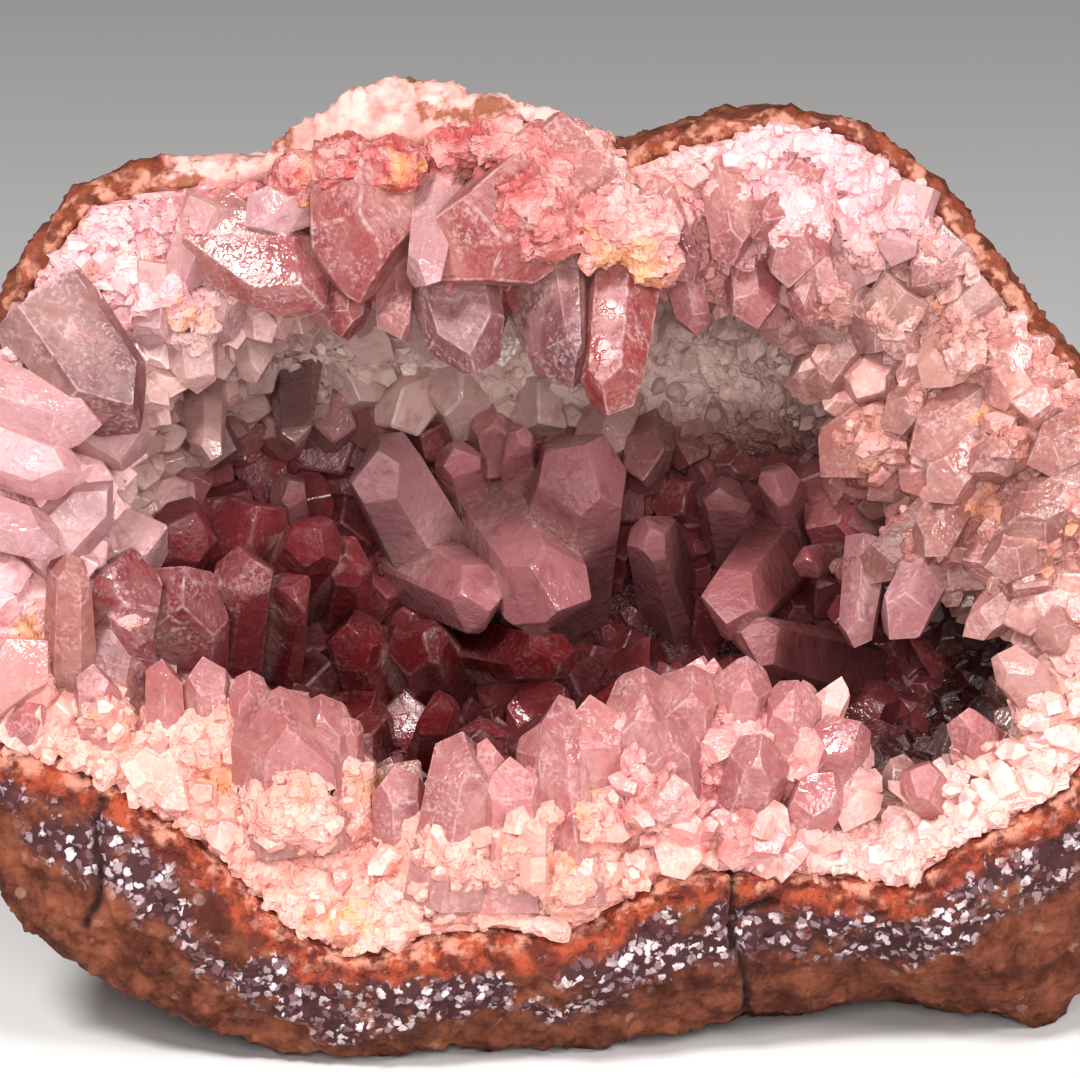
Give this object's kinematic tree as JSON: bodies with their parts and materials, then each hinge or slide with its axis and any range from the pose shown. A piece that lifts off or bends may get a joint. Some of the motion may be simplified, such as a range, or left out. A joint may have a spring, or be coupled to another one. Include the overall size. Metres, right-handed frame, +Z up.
{
  "type": "quartz geode",
  "caption": "Broken-open hollow nodule of brown volcanic rock lined with pale quartz and pink quartz crystals, resting on its underside with the mouth forward.",
  "frame": {"origin": "bottom centre of the whole piece, on the surface it rests on", "axes": "+Z up, +X to the right across the mouth, the mouth faces -Y and leans back by 15 degrees"},
  "size_m": [0.1236, 0.0774, 0.0976],
  "materials": {
    "host_rock": "rough broken and weathered reddish-brown volcanic rock",
    "quartz_lining": "sugary cream to pale pink quartz crust",
    "rose_crystal": "milky translucent rose quartz with glossy growth faces"
  },
  "bodies": {
    "root": {"back_crystals": "rose_crystal", "back_crystals_2": "rose_crystal", "back_crystals_3": "rose_crystal", "back_crystals_4": "rose_crystal", "back_crystals_5": "rose_crystal", "ceiling_left_crystals": "rose_crystal", "ceiling_left_crystals_2": "rose_crystal", "ceiling_left_crystals_3": "rose_crystal", "ceiling_right_crystals": "rose_crystal", "far_right_crystals": "rose_crystal", "far_right_crystals_2": "rose_crystal", "floor_left_crystals": "rose_crystal", "floor_left_crystals_2": "rose_crystal", "floor_left_crystals_3": "rose_crystal", "floor_left_crystals_4": "rose_crystal", "floor_right_crystals": "rose_crystal", "floor_right_crystals_2": "rose_crystal", "host_rock": "host_rock", "left_wall_crystals": "rose_crystal", "left_wall_crystals_2": "rose_crystal", "quartz_lining": "quartz_lining", "right_wall_crystals": "rose_crystal", "right_wall_crystals_2": "rose_crystal", "right_wall_crystals_3": "rose_crystal", "rim_front_crystals": "rose_crystal", "rim_left_crystals": "rose_crystal", "rim_right_crystals": "rose_crystal", "rim_right_crystals_2": "rose_crystal", "upper_left_crystals": "rose_crystal", "upper_left_crystals_2": "rose_crystal"}
  },
  "joints": []
}
